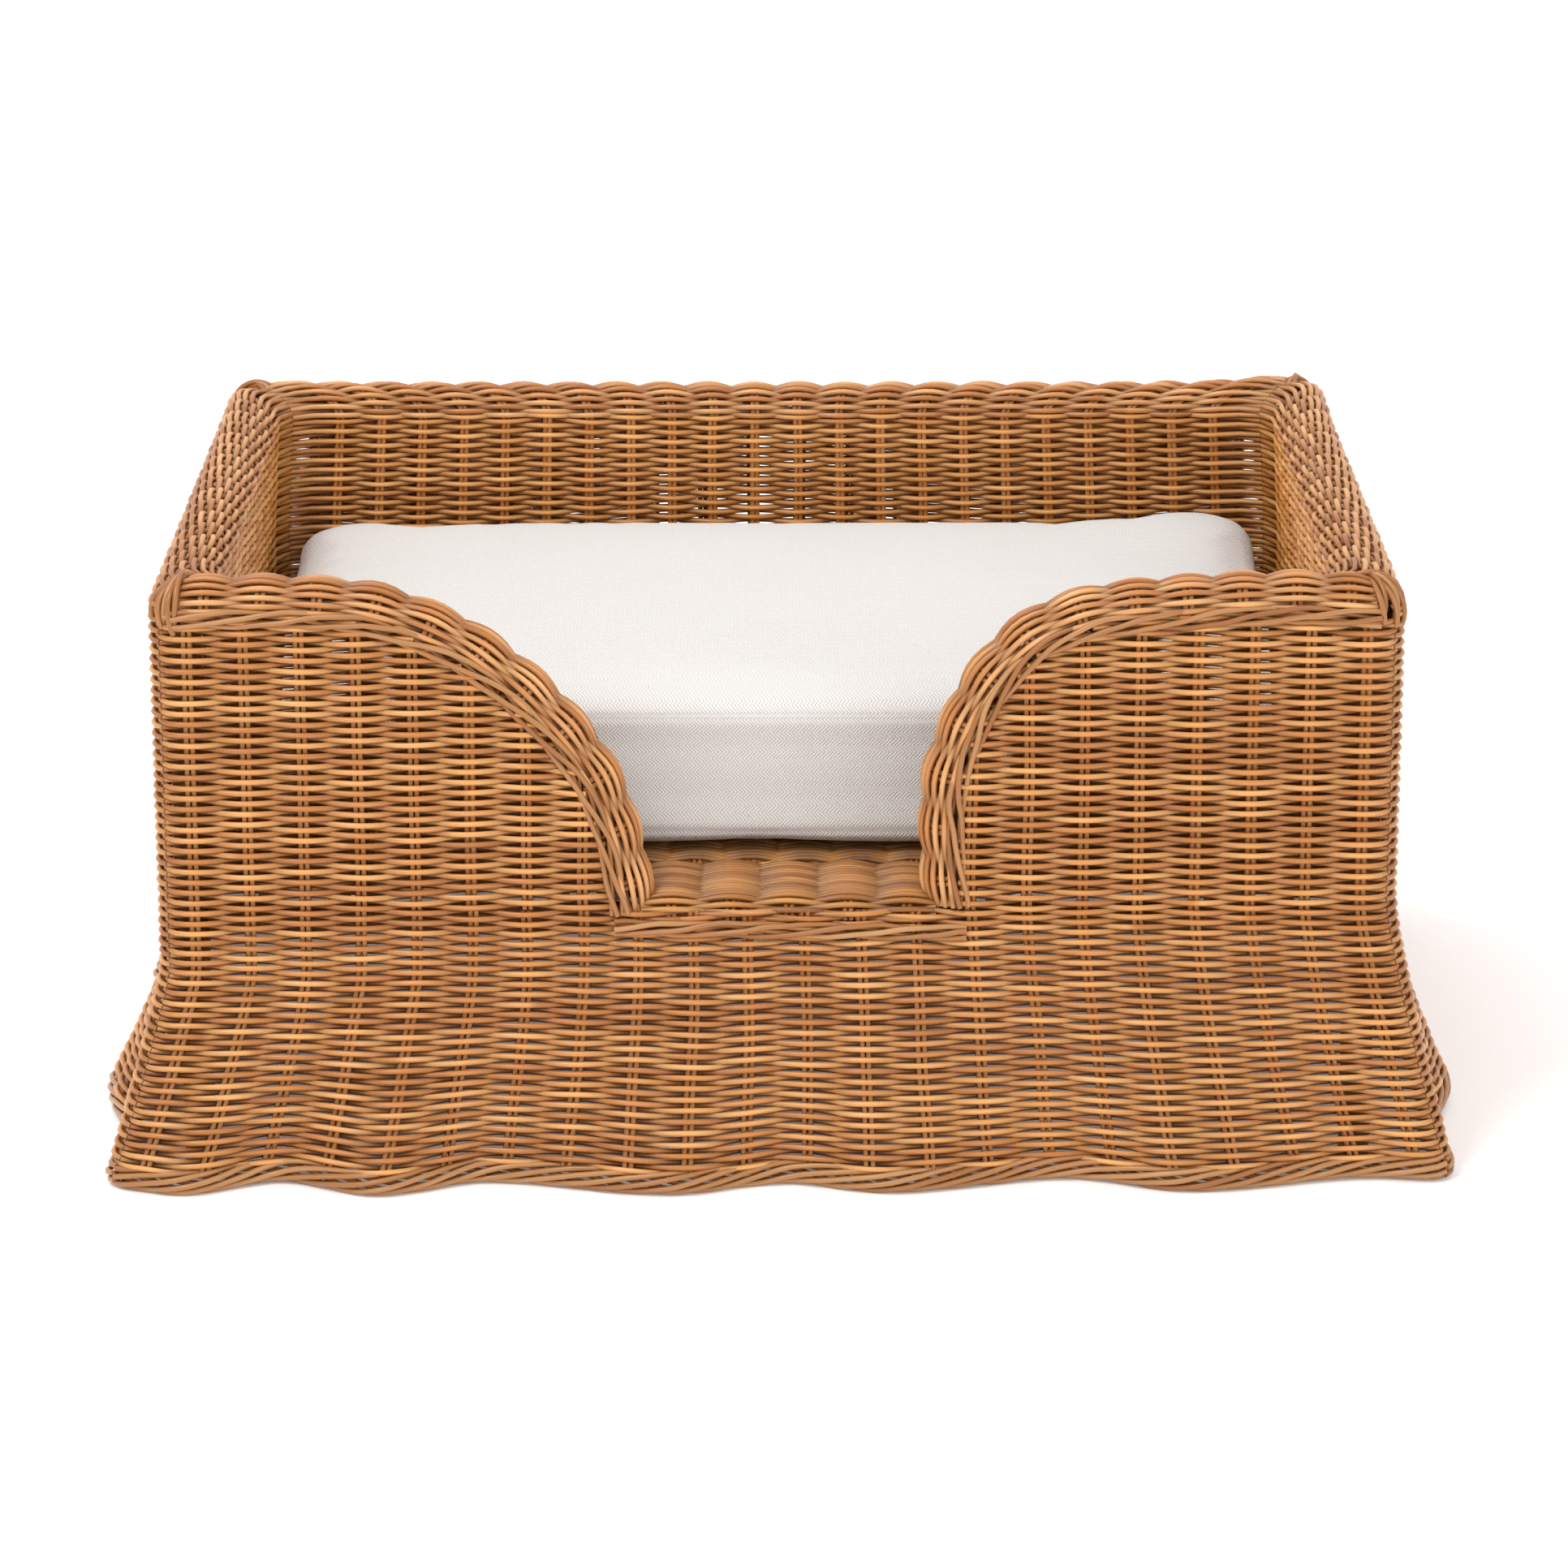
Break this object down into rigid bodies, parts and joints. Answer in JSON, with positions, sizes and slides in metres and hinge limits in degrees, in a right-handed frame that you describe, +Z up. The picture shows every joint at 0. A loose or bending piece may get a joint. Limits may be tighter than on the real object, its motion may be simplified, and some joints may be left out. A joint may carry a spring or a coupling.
{
  "type": "wicker pet bed basket",
  "caption": "Rectangular woven rattan pet bed with double-skinned walls, a curved entry cut-out in front, a flared skirt and a loose boxed cushion.",
  "frame": {"origin": "centre of the foot plane, under the middle of the bed", "axes": "+Z up, +X along the long side to the right seen from the front, the entry faces -Y"},
  "size_m": [0.788, 0.598, 0.35],
  "materials": {
    "woven_rattan": "honey brown rattan core, woven, satin",
    "woven_rattan_liner": "honey brown rattan core, woven, satin",
    "rattan_border": "twined and braided rattan core, satin",
    "rattan_pole": "peeled rattan pole, matt",
    "nail_steel": "plain steel",
    "cushion_cotton": "natural cotton herringbone",
    "cushion_foam": "open-cell foam",
    "zip_tape": "woven tape",
    "zip_coil": "moulded coil",
    "zip_metal": "nickel plated"
  },
  "bodies": {
    "basket": {"corner_knot_back_left": "rattan_border", "corner_knot_back_right": "rattan_border", "corner_knot_front_left": "rattan_border", "corner_knot_front_right": "rattan_border", "corner_post_back_left": "rattan_pole", "corner_post_back_right": "rattan_pole", "corner_post_front_left": "rattan_pole", "corner_post_front_right": "rattan_pole", "deck_rail_back": "rattan_pole", "deck_rail_front": "rattan_pole", "deck_rail_left": "rattan_pole", "deck_rail_right": "rattan_pole", "deck_slat_1": "rattan_pole", "deck_slat_2": "rattan_pole", "deck_slat_3": "rattan_pole", "deck_slat_4": "rattan_pole", "deck_slat_5": "rattan_pole", "entry_hoop_left": "rattan_pole", "entry_hoop_right": "rattan_pole", "entry_sill": "rattan_border", "entry_trim_left": "rattan_border", "entry_trim_right": "rattan_border", "frame_nails": "nail_steel", "hem_braid_back": "rattan_border", "hem_braid_front": "rattan_border", "hem_braid_left": "rattan_border", "hem_braid_right": "rattan_border", "liner_back": "woven_rattan_liner", "liner_front_left": "woven_rattan_liner", "liner_front_right": "woven_rattan_liner", "liner_left": "woven_rattan_liner", "liner_right": "woven_rattan_liner", "outer_wall_back": "woven_rattan", "outer_wall_front_left": "woven_rattan", "outer_wall_front_right": "woven_rattan", "outer_wall_left": "woven_rattan", "outer_wall_right": "woven_rattan", "rim_back": "rattan_border", "rim_left": "rattan_border", "rim_right": "rattan_border", "skirt_back": "woven_rattan", "skirt_front": "woven_rattan", "skirt_left": "woven_rattan", "skirt_right": "woven_rattan", "top_rail_back": "rattan_pole", "top_rail_left": "rattan_pole", "top_rail_right": "rattan_pole", "woven_deck": "woven_rattan"},
    "cushion": {"cushion_foam": "cushion_foam", "cushion_cover": "cushion_cotton", "zip_tape": "zip_tape", "zip_coil": "zip_coil"},
    "zip_slider": {"zip_slider": "zip_metal", "zip_pull": "zip_metal"}
  },
  "joints": [
    {"name": "cushion_lift", "type": "slide", "parent": "basket", "child": "cushion", "axis": [0, 0, 1], "range_m": [0, 0.3]},
    {"name": "zip_slide", "type": "slide", "parent": "cushion", "child": "zip_slider", "axis": [-1, 0, 0], "range_m": [0, 0.47]}
  ]
}
